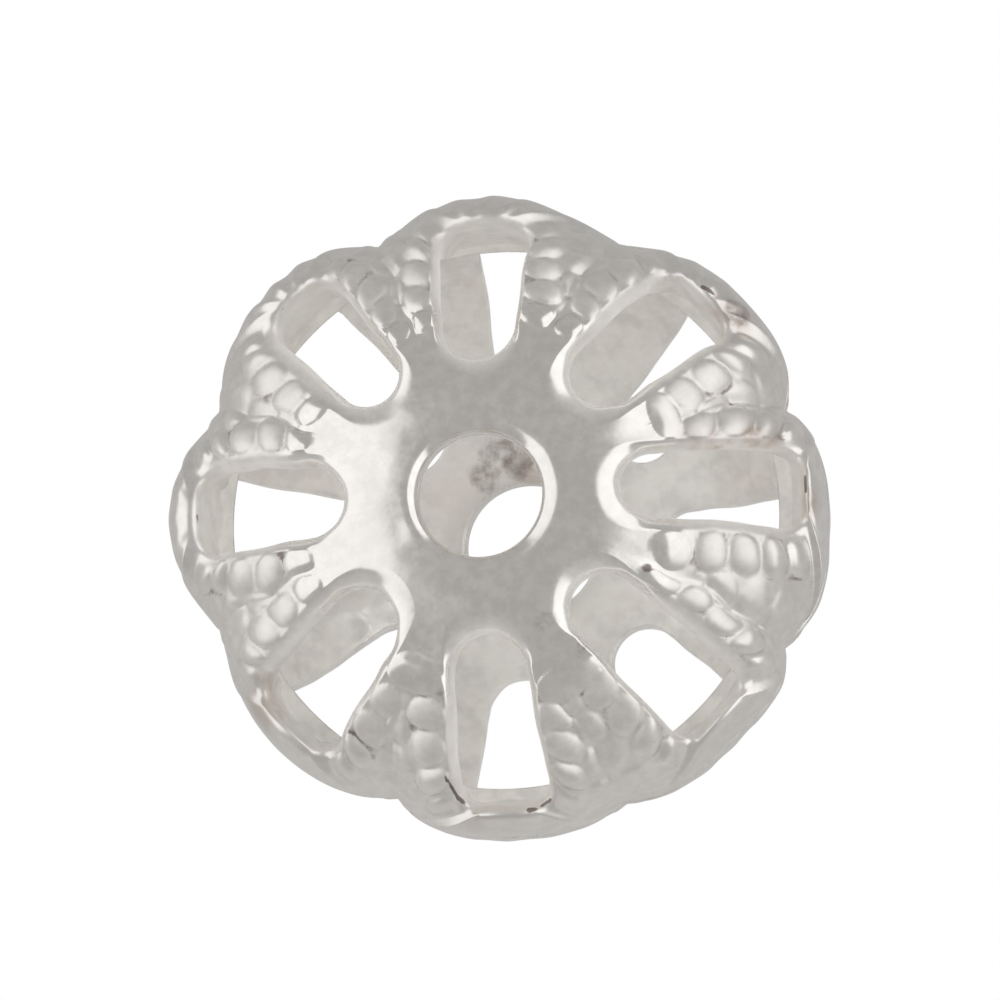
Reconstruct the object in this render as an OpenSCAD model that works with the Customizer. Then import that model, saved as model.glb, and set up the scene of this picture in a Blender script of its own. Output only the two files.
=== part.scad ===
// Openwork rondelle bead: two domed half shells that meet at the girdle.
// Each shell has a plain star-shaped hub round the thread hole, eight scalloped petals
// pierced by round-ended slots, and arms between the slots that carry two rows of grains.

/* [Overall] */
// Diameter over two opposite petals
bead_d = 10.05; // [9.8:0.05:11]
// How far a petal stands out past the valleys beside it
petal_depth = 0.32; // [0.2:0.02:0.4]
// Height of the bead along its thread hole
bead_h = 5.8; // [5.2:0.2:6.6]
// Thickness of the sheet
sheet = 0.45; // [0.35:0.05:0.5]
// Gap between the two shells at the girdle
girdle_gap = 0.02; // [0.01:0.01:0.05]

/* [Hub] */
// Diameter of the thread hole
hole_d = 1.9; // [1.5:0.05:2.1]
// Radius of the rolled lip of the thread hole
lip_r = 0.2; // [0.1:0.05:0.25]
// Diameter of the flat disc of the hub
hub_d = 2.8; // [2.7:0.1:3]

/* [Slots] */
// Distance from the axis to the inner end of a slot
slot_in = 2.1; // [2:0.05:2.2]
// Width of a slot near the hub
slot_w_in = 1.08; // [0.96:0.02:1.16]
// Width of a slot near the rim
slot_w_out = 1.32; // [1.2:0.02:1.36]
// Radius of the rim's inner edge, where a slot ends
slot_out_r = 4.58; // [4.5:0.02:4.6]
// Radius of the two outer corners of a slot
slot_corner = 0.2; // [0.1:0.05:0.25]
// Inner radius of the ledge at the girdle
ledge_in_r = 4.14; // [4.1:0.02:4.2]
// Height of the ledge above the girdle, where it meets the rim
ledge_h = 0.8; // [0.5:0.05:0.9]

/* [Grains] */
// Height of a grain on the arms
grain_h = 0.15; // [0.05:0.01:0.18]
// Height of a grain on the rim, as a share of that on the arms
rim_grain_share = 0.5; // [0.2:0.1:1]
// Depth of the groove between the two rows of an arm
groove_depth = 0.1; // [0.04:0.02:0.14]

/* [Hidden] */
silver = [0.79, 0.78, 0.76];

// The bead is hand finished, so its petals differ a little. A row for each petal: how far it
// reaches past the mean, and the same for the valley after it; then, for the upper and for the
// lower shell, the turn of its slot in degrees, the slot's width as a share of the mean, and
// how far its inner end lies past the mean
REACH = 0;
VALLEY_REACH = 1;
TURN = 2;
WIDTH = 3;
INNER = 4;
NEXT_SHELL = 3;
petal_table = [
    [0.00, 0.00, 3.4, 0.92, 0.00, -1.8, 0.95, 0.00],
    [-0.02, -0.09, 0.3, 1.01, 0.00, -1.9, 0.92, 0.00],
    [-0.02, 0.02, 1.8, 1.04, 0.00, -1.5, 0.96, 0.00],
    [0.08, 0.02, -2.2, 0.90, 0.00, 2.1, 1.10, -0.16],
    [0.07, -0.10, 0.1, 1.00, 0.00, -2.1, 1.12, 0.00],
    [-0.07, -0.12, 1.0, 1.09, 0.00, -0.8, 1.05, 0.00],
    [-0.08, -0.02, 2.2, 1.03, 0.00, -0.5, 0.97, 0.03],
    [-0.02, 0.02, 2.2, 1.01, -0.09, 0.2, 0.98, 0.06],
];
UPPER = 0;
LOWER = 1;

petals = len(petal_table);
half_angle = 180 / petals;
petal_r = bead_d / 2;
hub_r = hub_d / 2;
hole_r = hole_d / 2;
half_h = bead_h / 2;
dome_power = 1.12;

// Steps along half a slot: the hub's arc, the smooth arm, the grains of the arm, the corner
// between arm and valley, and the grains of the rim up to the middle of the petal
grain_steps = 4;
hub_steps = 4;
smooth_end = hub_steps + 3;
arm_grains = 4;
rim_grains = 2.5;
arm_end = smooth_end + arm_grains * grain_steps;
valley_step = arm_end + grain_steps;
mid_step = valley_step + rim_grains * grain_steps;
loop_steps = 2 * mid_step;
corner_share = 0.45;

// Where the grains start and end on the arm's middle line, as turns of the dome
grain_start = 23.4;
grain_end = 70;

// The cross-section of the border, from the underside of the arm's middle line round the edge
// of the slot to its top: place across the border, depth as a share of the sheet, grain height
ACROSS = 0;
DEPTH = 1;
RAISED = 2;
section = [
    [1.00, 1.0, 0.0],
    [0.10, 1.0, 0.0],
    [0.00, 0.5, 0.0],
    [0.10, 0.0, 0.5],
    [0.34, 0.0, 1.0],
    [0.72, 0.0, 1.0],
    [1.00, 0.0, 0.0],
];
columns = len(section);
TOP = columns - 1;

function mix(a, b, t) = a + (b - a) * t;

// The sizes of half a petal: the radius at its valley, the radius at its middle, half the
// slot's width near the hub and near the rim, the slot's turn away from the middle, and the
// distance from the axis to its inner end
AT_VALLEY = 0;
AT_MIDDLE = 1;
HALF_IN = 2;
HALF_OUT = 3;
SLOT_TURN = 4;
SLOT_IN = 5;
function half_petal(shell, petal, side) =
    let (row = petal_table[petal])
    let (valley_row = side > 0 ? row : petal_table[(petal + petals - 1) % petals])
    let (skip = NEXT_SHELL * shell)
    [
        petal_r - petal_depth + valley_row[VALLEY_REACH],
        petal_r + row[REACH],
        slot_w_in / 2 * row[WIDTH + skip],
        slot_w_out / 2 * row[WIDTH + skip],
        side * row[TURN + skip],
        slot_in + row[INNER + skip]
    ];

// The dome: a place is [angle from the petal's middle, turn], and the turn goes from 0 at the
// hub to 90 at the girdle. The normal is [radial, vertical]
function outline_r(half, angle) =
    mix(half[AT_MIDDLE], half[AT_VALLEY], pow(angle / half_angle, 2));
function dome_r(half, place) =
    hub_r + (outline_r(half, place[0]) - hub_r) * sin(place[1]);
function dome_z(place) = half_h * pow(max(0, cos(place[1])), dome_power);
function dome_normal(half, place) =
    let (slope = max(0.000001, cos(place[1])))
    let (run = (outline_r(half, place[0]) - hub_r) * slope)
    let (fall = half_h * dome_power * pow(slope, dome_power - 1) * sin(place[1]))
    [fall, run] / norm([fall, run]);
function place_over(half, point) =
    let (angle = atan2(point[1], point[0]))
    let (share = (norm(point) - hub_r) / (outline_r(half, angle) - hub_r))
    [angle, asin(min(1, share))];

// The outer line of the border at a step: round the hub, out along the arm, then round the rim
function arm_turn(step) =
    step <= smooth_end
    ? grain_start * (step - hub_steps) / (smooth_end - hub_steps)
    : step <= arm_end
    ? mix(grain_start, grain_end, (step - smooth_end) / (arm_end - smooth_end))
    : mix(grain_end, 90, (step - arm_end) / (valley_step - arm_end));
function border_line(step) =
    step <= hub_steps
    ? [half_angle * step / hub_steps, 0]
    : step <= valley_step
    ? [half_angle, arm_turn(step)]
    : [half_angle * (mid_step - step) / (mid_step - valley_step), 90];

// The edge of the slot at a step, as a point of the plan with the petal's middle along X:
// round its inner end, out along its side, round the corner and along the rim
function inner_end_x(half) = half[SLOT_IN] + half[HALF_IN];
function corner_center(half) =
    let (y = half[HALF_OUT] - slot_corner)
    [sqrt(pow(slot_out_r - slot_corner, 2) - y * y), y];
function inner_end(half, share) =
    let (turn = 180 - 90 * share)
    [inner_end_x(half), 0] + half[HALF_IN] * [cos(turn), sin(turn)];
function slot_side(half, share) =
    let (start = [inner_end_x(half), half[HALF_IN]])
    let (end = [corner_center(half)[0], half[HALF_OUT]])
    let (radius = mix(norm(start), norm(end), share))
    let (y = mix(start[1], end[1], (radius - start[0]) / (end[0] - start[0])))
    [sqrt(radius * radius - y * y), y];
function rim_side(half, share) =
    let (center = corner_center(half))
    let (end_angle = atan2(center[1], center[0]))
    let (turn = mix(90, end_angle, share / corner_share))
    let (angle = end_angle * (1 - share) / (1 - corner_share))
    share < corner_share
    ? center + slot_corner * [cos(turn), sin(turn)]
    : slot_out_r * [cos(angle), sin(angle)];
function line_r(half, step) = dome_r(half, border_line(step));
function slot_edge(half, step) =
    step <= smooth_end
    ? inner_end(half, step / smooth_end)
    : step > arm_end
    ? rim_side(half, (step - arm_end) / (mid_step - arm_end))
    : let (start = line_r(half, smooth_end))
      slot_side(half, (line_r(half, step) - start) / (line_r(half, arm_end) - start));

// How far the grains raise the surface at a step, and how far the groove lowers it
function grain_lift(step) =
    let (phase = (step - smooth_end) / grain_steps)
    let (across_grain = 2 * (phase - floor(phase)) - 1)
    let (rim_share = mix(1, rim_grain_share, max(0, min(1, (step - arm_end) / grain_steps))))
    step <= smooth_end ? 0 : grain_h * rim_share * sqrt(1 - across_grain * across_grain);
function groove_drop(step) =
    let (share = (step - smooth_end) / (valley_step - smooth_end))
    share <= 0 || share >= 1 ? 0 : groove_depth * sqrt(sin(180 * share));

// The underside lies straight below the slot's edge, down to the ledge at the most. On the
// arm's middle line it lies along the normal, and deepens to the ledge's inner radius
function ledge_z(radius) =
    max(0, ledge_h * (radius - ledge_in_r) / (slot_out_r - ledge_in_r));
function edge_depth(half, place) =
    min(
        sheet / dome_normal(half, place)[1],
        dome_z(place) - ledge_z(dome_r(half, place))
    );
function line_depth(half, place) =
    mix(sheet, outline_r(half, place[0]) - ledge_in_r, pow(place[1] / 90, 6));

// A point of the shell as [angle, radius, height], for a step and a column of the section
function shell_place(half, step, column) =
    let (row = section[column])
    let (edge = place_over(half, slot_edge(half, step)))
    let (line = border_line(step))
    let (place = mix(edge, line, row[ACROSS]))
    let (normal = dome_normal(half, place))
    let (lift = row[RAISED] * grain_lift(step) - (column == TOP ? groove_drop(step) : 0))
    let (down = row[ACROSS] == 1 ? row[DEPTH] * line_depth(half, place) : 0)
    let (drop = row[ACROSS] < 1 ? row[DEPTH] * edge_depth(half, edge) : 0)
    [
        place[0] + half[SLOT_TURN] * (1 - row[ACROSS]),
        dome_r(half, place) + (lift - down) * normal[0],
        max(0, dome_z(place) + (lift - down) * normal[1] - drop)
    ];

// One point in space, for a petal and a step of the loop round its whole slot
function half_step(turn) = min(turn, loop_steps - turn);
function shell_point(shell, petal, turn, column) =
    let (side = turn <= mid_step ? 1 : -1)
    let (place = shell_place(half_petal(shell, petal, side), half_step(turn), column))
    let (angle = 2 * half_angle * petal + side * place[0])
    [place[1] * cos(angle), place[1] * sin(angle), place[2]];
function shell_points(shell) = [
    for (petal = [0:petals - 1], turn = [0:loop_steps - 1], column = [0:TOP])
        shell_point(shell, petal, turn, column)
];

// The number of a point: neighbouring petals share the points on the arm between them
function own(petal, turn, column) = (petal * loop_steps + turn) * columns + column;
function id(petal, turn, column) =
    let (step = half_step(turn % loop_steps))
    let (outer = column == 0 || column == TOP)
    let (on_arm = step >= hub_steps && step <= valley_step)
    outer && on_arm && turn % loop_steps > mid_step
    ? own((petal + petals - 1) % petals, step, column)
    : own(petal, turn % loop_steps, column);
function strip(petal, turn, from, to) =
    let (a = id(petal, turn, from))
    let (b = id(petal, turn, to))
    let (c = id(petal, turn + 1, to))
    let (d = id(petal, turn + 1, from))
    [[a, b, c], [a, c, d]];
border_faces = [
    for (petal = [0:petals - 1], turn = [0:loop_steps - 1], column = [0:TOP - 1])
        each strip(petal, turn, column, column + 1)
];
girdle_faces = [
    for (petal = [0:petals - 1], turn = [valley_step:loop_steps - valley_step - 1])
        each strip(petal, turn, TOP, 0)
];
hub_turns = [loop_steps - hub_steps:loop_steps + hub_steps - 1];
hub_underside = [for (petal = [0:petals - 1], turn = hub_turns) id(petal, turn, 0)];
hub_top = [
    for (petal = [petals - 1:-1:0], back = hub_turns)
        id(petal, 2 * loop_steps - 1 - back, TOP)
];

// The thread hole, with its rolled lip
module hole_cutter() {
    over = 1;
    lip = [
        for (turn = [0:30:90])
            [hole_r + lip_r * (1 - cos(turn)), half_h - lip_r * (1 - sin(turn))]
    ];
    rotate_extrude($fn = 96)
        polygon(concat(
            [[0, half_h - sheet - over], [hole_r, half_h - sheet - over]],
            lip,
            [[hole_r + lip_r, half_h + over], [0, half_h + over]]
        ));
}

// Half of the bead, standing on the plane of the girdle
module half_shell(shell) {
    difference() {
        polyhedron(
            points = shell_points(shell),
            faces = concat(border_faces, girdle_faces, [hub_underside, hub_top])
        );
        hole_cutter();
    }
}

module upper_shell() {
    color(silver)
        translate([0, 0, girdle_gap / 2])
            half_shell(UPPER);
}

module lower_shell() {
    color(silver)
        mirror([0, 0, 1])
            translate([0, 0, girdle_gap / 2])
                half_shell(LOWER);
}

upper_shell();
lower_shell();
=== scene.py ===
import math

import bmesh
import bpy
import numpy as np
from mathutils import Matrix, Vector


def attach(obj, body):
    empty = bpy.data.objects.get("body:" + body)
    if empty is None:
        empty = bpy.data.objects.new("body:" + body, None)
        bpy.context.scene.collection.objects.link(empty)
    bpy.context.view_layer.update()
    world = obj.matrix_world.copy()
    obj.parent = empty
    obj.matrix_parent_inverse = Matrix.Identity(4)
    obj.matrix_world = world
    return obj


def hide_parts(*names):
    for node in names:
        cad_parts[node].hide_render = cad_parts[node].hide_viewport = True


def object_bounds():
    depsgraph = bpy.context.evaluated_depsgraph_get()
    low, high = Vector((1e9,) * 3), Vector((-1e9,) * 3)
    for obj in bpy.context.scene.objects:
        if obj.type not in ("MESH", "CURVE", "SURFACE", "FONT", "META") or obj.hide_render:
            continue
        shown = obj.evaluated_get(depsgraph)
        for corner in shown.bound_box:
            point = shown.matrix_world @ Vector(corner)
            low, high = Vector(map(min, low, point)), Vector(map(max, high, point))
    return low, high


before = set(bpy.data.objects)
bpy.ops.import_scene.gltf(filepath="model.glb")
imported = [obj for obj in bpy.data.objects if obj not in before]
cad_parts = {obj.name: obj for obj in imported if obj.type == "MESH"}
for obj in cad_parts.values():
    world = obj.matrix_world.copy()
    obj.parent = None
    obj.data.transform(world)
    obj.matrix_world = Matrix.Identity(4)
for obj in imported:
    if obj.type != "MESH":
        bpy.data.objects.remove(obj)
cad_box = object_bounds()

MM = 0.001

# Sizes in millimetres, as in part.scad
BEAD_D = 10.05
PETAL_DEPTH = 0.32
BEAD_H = 5.8
SHEET = 0.45
GIRDLE_GAP = 0.02
HOLE_D = 1.9
HUB_D = 2.8
SLOT_IN = 2.1
SLOT_W_IN = 1.08
SLOT_W_OUT = 1.32
SLOT_OUT_R = 4.58
DOME_POWER = 1.12

# Columns of PETALS: how far the petal and the valley after it reach past their even places, then the
# upper and the lower slot, each with its turn in degrees, its share of the even width and how much
# farther out it starts
REACH, VALLEY_REACH, SLOTS = range(3)
PETALS = [
    [-0.03, -0.06, (3.4, 0.92, 0), (-1.8, 0.95, 0)],
    [-0.04, -0.07, (0.3, 1.01, 0), (-1.9, 0.92, -0.07)],
    [-0.04, 0, (1.8, 1.04, 0), (-1.5, 0.96, 0)],
    [0.05, 0.04, (-2.2, 0.9, 0), (2.1, 1.1, -0.16)],
    [0.09, -0.01, (0.1, 1, 0), (-2.1, 1.12, 0)],
    [-0.09, -0.13, (1, 1.09, 0), (-0.8, 1.05, 0)],
    [-0.12, 0.08, (2.2, 1.03, 0), (-0.5, 0.97, 0.03)],
    [-0.1, 0.07, (2.2, 1.01, -0.09), (0.2, 0.98, 0.06)],
]

# Columns of WORK, the hand work of each petal: the radii of the upper rim's inner edge, of its inner
# wall's foot and of the ledge's edge, then pairs, for the side toward the next petal and the side toward
# the last one: the plain strip beside the slot, the outline's fullness, the height of the rim's last grain
RIM_IN, FOOT, LEDGE, STRIP, FULLNESS, LAST_GRAIN = range(6)
WORK = [
    [4.73, 4.5, 4.24, (0.12, 0.19), (0.06, 0.11), (0.05, 0.08)],
    [4.52, 4.36, 4.22, (0.1, 0.19), (-0.05, 0.11), (0.05, 0.08)],
    [4.38, 4.3, 4.19, (0.06, 0.06), (0.05, -0.09), (0.05, 0.05)],
    [4.48, 4.34, 4.22, (0.28, 0.08), (0.05, 0.03), (0.05, 0.05)],
    [4.52, 4.4, 4.21, (0.15, 0.19), (-0.06, -0.04), (0.08, 0.05)],
    [4.54, 4.36, 4.15, (0.1, 0.17), (0.02, -0.02), (0.05, 0.05)],
    [4.58, 4.36, 4.14, (0.08, 0.1), (0.04, 0.06), (0.05, 0.09)],
    [4.66, 4.42, 4.2, (0.22, 0.04), (0.13, 0.07), (0.08, 0.02)],
]
# Height of the scallops along each petal's rim
SCALLOP = [0.01, 0.04, 0.045, 0.045, 0.015, 0, 0, 0]
# Turn of each valley off its even place, in degrees
VALLEY_TURN = [-2, -0.7, 1.7, 0.8, -1.8, 1, 0.4, -2.6]
# Turns of the dome where each arm's grains meet, in degrees
GRAIN_TURNS = [
    [25.5, 34.8, 46.5, 60.4, 73],
    [23.6, 32.5, 41.9, 53.5, 70],
    [22.5, 30.5, 41, 54, 72],
    [24.7, 34.1, 45.1, 60, 75],
    [23.1, 34.3, 46.4, 61.5, 75],
    [22.9, 33.6, 45.1, 60, 74],
    [25.2, 35.4, 45.7, 58.8, 72],
    [24.4, 36.4, 46.9, 59.2, 71],
]
# Section of each upper rim's crest, an ellipse at 2 and squarer above, and how wide its inner edge is
# rolled over
CREST_POWER = [2.4, 2.2, 2.2, 2.2, 3.3, 2.2, 2.4, 2.2]
RIM_ROLL = [0.24, 0.24, 0.24, 0.24, 0.15, 0.24, 0.24, 0.24]
# How far the crest sinks toward the slot's corners, at this angle from its middle in degrees, and the
# corners' radius
CREST_SINK, CREST_SINK_AT = 0.2, 8
SLOT_CORNER = 0.38

# The lower shell is plainer, and takes its grains from the arm so many places farther on
LOWER_STRIP = 0.12
LOWER_CREST_POWER = 2.2
LOWER_RIM_ROLL = 0.24
LOWER_SLOT_CORNER = 0.2
LOWER_RIM_GRAIN_H = 0.02
LOWER_GRAINS_FROM = 3

# Half a petal's angle, and the steps along its border: where the hub, the plain part beside the slot's
# round end, the arm and the valley end, and the middle of the rim. SAMPLES are the rows up to each of
# them, but for the valley
HALF = 22.5
HUB_END, SMOOTH_END, ARM_END, VALLEY, MIDDLE = 4, 7, 23, 27, 37
SAMPLES = 12, 10, 60, 38
GRAIN_STEP = 4
# The dome's turn over a place is found in this many rounds
ROUNDS = 12
# Share of the steps past the arm that the slot's corner takes
CORNER_SHARE = 0.45
# Each RISE is where something sets in, and how far on from there it is full. In steps, these are the
# arm's section, the rim's crest, the grains and the rim's own, the wall that slants to the ledge, the
# straight underside and the rim's dark lines
ARM_RISE = (HUB_END, 3)
CREST_RISE = (ARM_END - 3, 11)
GRAINS_RISE, RIM_GRAINS_RISE = (SMOOTH_END, 0.5), (ARM_END + 0.5, 4)
FOOT_RISE = (ARM_END - 1.5, 4)
STRAIGHT_RISE = (ARM_END - 2, 5)
RECESS_RISE = (ARM_END + 2, 3)
# Columns of the border's cross-section: underside, its rounded corner, wall, the upper rounded corner
# and the top
UNDER, LOW_FILLET, WALL, TOP_FILLET, TOP = 9, 3, 3, 9, 23

# The petals' crease starts at this turn of the dome, or at the second one beside a joined pair
CREASE_FROM, JOINED_CREASE_FROM, CREASE_OVER = 15, 32, 35
# The outline's fullness, by the turn. The scale makes the largest value of its curve 1
FULL_RISE, FULL_SCALE = (30, 40), 1.73
# Radii over which the valleys turn off, and between which the line between the two rows of grains zigzags
VALLEY_RISE = (3.4, 1.4)
ZIGZAG, ZIGZAG_STEP, ZIGZAG_PHASE = 0.045, 0.5, 2.1
ZIGZAG_FROM, ZIGZAG_IN, ZIGZAG_TO, ZIGZAG_OUT = 2.7, 0.3, 4.2, 0.4

# The grains' height, their width at most, and the share of their place that is filled lengthwise
GRAIN_H = 0.062
GRAIN_WIDE = 0.66
GRAIN_LONG = 0.985
# Powers of a grain's outline and dome, and the share of it over which its foot rises
GRAIN_POWER, GRAIN_DOME, GRAIN_FOOT = 2.3, 0.75, 0.2
# The largest share of the border's width that the plain strip beside the slot takes
STRIP_SHARE = 0.3
# How far a grain's two sides move with its draws, the gap at the far one, and the fade at the middle line
NEAR_SPREAD, FAR_GAP, FAR_SPREAD = 0.015, 0.01, 0.02
LINE_OVER = 0.05
# No crease shows past the grains, nor much of one at the soft start of the first
BEYOND_RISE = (0.02, 0.06)
FIRST_CREASE = 0.3
# The step at which the hub starts to rise into an arm's first grains, and how much this softens them
FIRST_FROM, FIRST_SOFT = 6.3, 0.5
# How much higher an arm's outermost grains are, and over which steps they grow
OUTER_HIGHER, OUTER_RISE = 0.8, (14, 7)
# The small grains between the two rows: their share of a grain's height, the steps where they start and
# end, how far they reach under the row's grains and how wide they are at least
FILL_SHARE = 0.95
FILL_RISE, FILL_END = (SMOOTH_END + 3.5, 3), ARM_END + 2
FILL_OVERLAP, FILL_WIDE = 0.03, 0.12
# Arms whose first pair of grains is one, with its share of a grain's height by the hub. JOINED_SHARE is
# the share at its outer end, and JOINED_BEND how far its ends bend toward the hub
JOINED = {0: 0.4, 5: 0.9, 6: 0.9}
JOINED_SHARE, JOINED_OVER = 0.9, 1.4
JOINED_BEND = 0.03
# Each grain's random draws: its near and far side, its lean and its height. The fifth one isn't used
NEAR_DRAW, FAR_DRAW, LEAN_DRAW, HEIGHT_DRAW = range(4)
DRAWS = 5
LEAN, HEIGHT_SPREAD = 0.10, 0.12
# Number of grains on the arm and of all draws, and the grains at the rim's corner and in its middle
ARM_GRAINS, GRAINS = 4, 9
CORNER_GRAIN, MIDDLE_GRAIN = 5, 7
# The groove between the two rows: its depth, where it starts across, and how soon it is deep
GROOVE, GROOVE_FROM, GROOVE_START = 0.05, 0.8, 0.3

# The rolled edge of the slot on the hub, the arm and the rim: how far it reaches from the slot and down
# the wall
HUB_ROLL, HUB_ROLL_DOWN = 0.36, 0.27
ARM_ROLL_SHARE, ARM_ROLL_EXTRA, ARM_ROLL_DOWN = 0.4, 0.05, 0.30
RIM_ROLL_DOWN = 0.22
# Its section is round, and along the arms steeper, like a bevel. It takes these shares of the width and
# of the wall at most
ROUND_POWER, BEVEL_OUT_POWER, BEVEL_DOWN_POWER = 2, 1.3, 1.6
ROLL_MOST, ROLL_DOWN_MOST = 0.6, 0.7
# Share of the top's columns that is even, and share of the width at which the grains' row is measured
EVEN_COLUMNS, ROW_MIDDLE = 0.6, 0.55
# Height of the rim wall's foot over the girdle, its least distance inward, and the lowest foot elsewhere
FOOT_H, FOOT_IN, LOWEST_EDGE = 0.12, 0.04, 0.15
# Radius of the underside's corner, and the share of the wall that it takes at most
LOW_CORNER, LOW_CORNER_MOST = 0.07, 0.3
# The crest's top lies a little under the dome's height just inside the slot's outer end
CREST_IN, CREST_UNDER = 0.06, 0.08
# How much the wall and the start of the rolled edge look like the inside, and how dark the lines at the
# foot and the top of the rim's inner wall are
WALL_INSIDE, ROLL_INSIDE = 0.8, 0.6
FOOT_LINE, TOP_LINE = 0.6, 0.45

# The thread hole's lip. Away from the azimuth, in degrees, it narrows to a share of its width
LIP_OUT, LIP_DOWN = 0.34, 0.20
LIP_NARROW, LIP_WIDE_AT = 0.6, 20
# The lower thread hole is worn wider on one side, at this azimuth in degrees
HOLE_WEAR, HOLE_WEAR_AT = 0.16, -38
# The bore's lower edge is broken over this much, and its lip starts with this share of the inside's look
BORE_BREAK, LIP_INSIDE = 0.06, 0.2
FACE_RINGS, LIP_RINGS, UNDER_RINGS = 5, 10, 6

# The hub is slightly domed: its slope grows to this at the first radius and ends at the second one. The
# dome beyond is raised with the other slope at most, over this run
HUB_SLOPE, HUB_STEEP_R, HUB_SLOPE_END = 0.0875, 1.4, 2.4
DOME_SLOPE, DOME_RUN = 0.05, 2.1
# They fade out down to the girdle, from this height. The slope is added up out to this radius
FALL_OVER = 0.8
FALL_END, FALL_SAMPLES = 5.4, 541
# Height and size of the waves in the plate and of the dents inside. The waves fade out near the girdle,
# and the dents toward the hub
WAVES = [(0.012, 1.1), (0.005, 0.35)]
DENTS = [(0.040, 0.44), (0.008, 0.21)]
DENTS_SHIFT = 3
WAVES_OVER, DENTS_OVER = 0.15, 0.8
# How strongly the inside is hammered, petal by petal
HAMMER = [1.9, 1.2, 0.8, 1.3, 1.3, 3.4, 0.8, 2]
# How much of the plate's shine is left inside, petal by petal, and over which radii it sets in
POLISH = [0.35, 0.1, 0, 0.2, 0.2, 1, 0, 0.6]
POLISH_RISE = (1.8, 0.5)
# Radii over which the arms' satin finish sets in, and the rim, which has less of it by this share
SATIN_RISE, RIM_RISE, RIM_SATIN_LESS = (2.9, 0.5), (4.35, 0.25), 0.6
# Half axes of an ellipsoid near the bead's surface, for the direction outward
AXES = (5, 5, 2.9)
# Rounding of the girdle's corners, from this radius outward
GIRDLE_ROUND, GIRDLE_SHARE, GIRDLE_R = 0.06, 0.8, 4.45

# Places x, y, z, their size and strength, in mm, on each shell: dark tarnish, then a brown cast
TARNISH = (
    [
        (0.62, -4.58, 1.12, 0.13, 1.1), (-0.42, -4.55, 1.12, 0.11, 0.9), (3.72, 3, 1, 0.3, 0.72),
        (1.04, -1.97, 2.75, 0.26, 0.5), (-0.95, -0.72, 2.8, 0.22, 0.35), (2.52, -1.15, 2.5, 0.09, 1),
    ],
    [(-0.45, 1.4, 2.45, 0.4, 0.66), (-0.15, 1.3, 2.45, 0.34, 0.74), (-0.62, 1.1, 2.45, 0.34, 0.66)],
)
BROWN = (
    [
        (4.82, 0.14, 1.2, 0.45, 0.8), (3.1, 0.82, 2.2, 0.25, 0.5), (3.6, 0.88, 1.95, 0.28, 0.7),
        (4.1, 0.93, 1.7, 0.3, 0.8), (4.5, 0.9, 1.4, 0.35, 0.8), (3.6, 2.93, 1, 0.5, 0.5),
        (-3.54, -2.9, 1, 0.5, 0.6), (-3.7, 0.77, 1.7, 0.14, 0.8), (-2.6, 0.66, 2.3, 0.14, 0.8),
        (-0.1, -4.9, 0.8, 0.5, 0.5),
    ],
    [(0.1, 1.2, 2.45, 0.3, 0.5), (2.6, 2.4, 2, 0.3, 0.4)],
)
# Dark cracks along the upper rims: from x, y to x, y, half width, and the height above which they show
CRACKS = [
    (4.74, 0.46, 4.75, 0.22, 0.03, 0.85), (3.22, 3.36, 3.40, 3.26, 0.035, 1.15),
    (-3.40, 2.96, -3.22, 3.15, 0.03, 1.3), (-4.55, -0.02, -4.54, -0.17, 0.025, 1.3),
    (-0.68, -4.16, -0.57, -4.40, 0.025, 0.8), (-0.57, -4.40, -0.37, -4.57, 0.035, 0.9),
    (0.84, -4.44, 0.70, -4.53, 0.025, 0.8), (0.70, -4.53, 0.52, -4.60, 0.045, 0.9),
]
CRACK_STRENGTH, CRACK_FADE = 1.15, 0.08
# Points this close are one, and edges this short are taken out, in metres
WELD, SHORTEST = 2e-7, 1e-8

# Noise in the plate: its scale per metre, detail and roughness, and the two values between which it goes
# from 0 to 1
CLOUDS = (900, 5, 0.6, 0.3, 0.7)
MOTTLES = (2300, 5, 0.6, 0.34, 0.58)
STAINS = (700, 3, 0.5, 0.48, 0.72)
BROWN_PATCHES = (2600, 5, 0.65, 0.3, 0.65)
TARNISH_PATCHES = (1500, 4, 0.65, 0.52, 0.72)
SPECKS, SPECK_RANGE, DULL_SPECK_RANGE = (5200, 3, 0.6), (0.3, 0.7), (0.35, 0.65)
RAGGED, RAGGED_RANGE, SPOT_RANGE = (3300, 4, 0.65), (0.9, 1.45), (0, 0.5)
ROUGHNESS, ROUGHNESS_RANGE = (2600, 4, 0.6), (0.3, 0.7)
FINE = (7000, 2, 0.5)
CREASE_RANGE = (0.45, 1)
# Colours of the plate outside and inside, of its stains and of tarnish
PLATE, PLATE_CLOUD, PLATE_SPECK = (0.93, 0.915, 0.892), (0.88, 0.86, 0.835), (0.82, 0.80, 0.78)
DULL, DULL_SPECK, MOTTLE = (1, 0.99, 0.97), (0.95, 0.94, 0.915), (0.86, 0.85, 0.835)
STAIN, STAIN_SHARE = (0.88, 0.81, 0.76), 0.3
BROWN_CAST = (0.60, 0.51, 0.45)
DARK, DARK_SHARE = (0.20, 0.15, 0.13), 0.85
# Shares of the inside's dullness that polish takes away, and of the metal that dullness takes away
POLISH_SHARE, DULL_METAL = 0.75, 0.55
# Roughness of the polished plate, and what each finish adds to it
POLISHED_ROUGH, DULL_ROUGH, SATIN_ROUGH, TARNISH_ROUGH = (0.15, 0.20), 0.25, 0.29, 0.2
BUMP_STRENGTH, BUMP_DEPTH = 0.08, 0.00001

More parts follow.
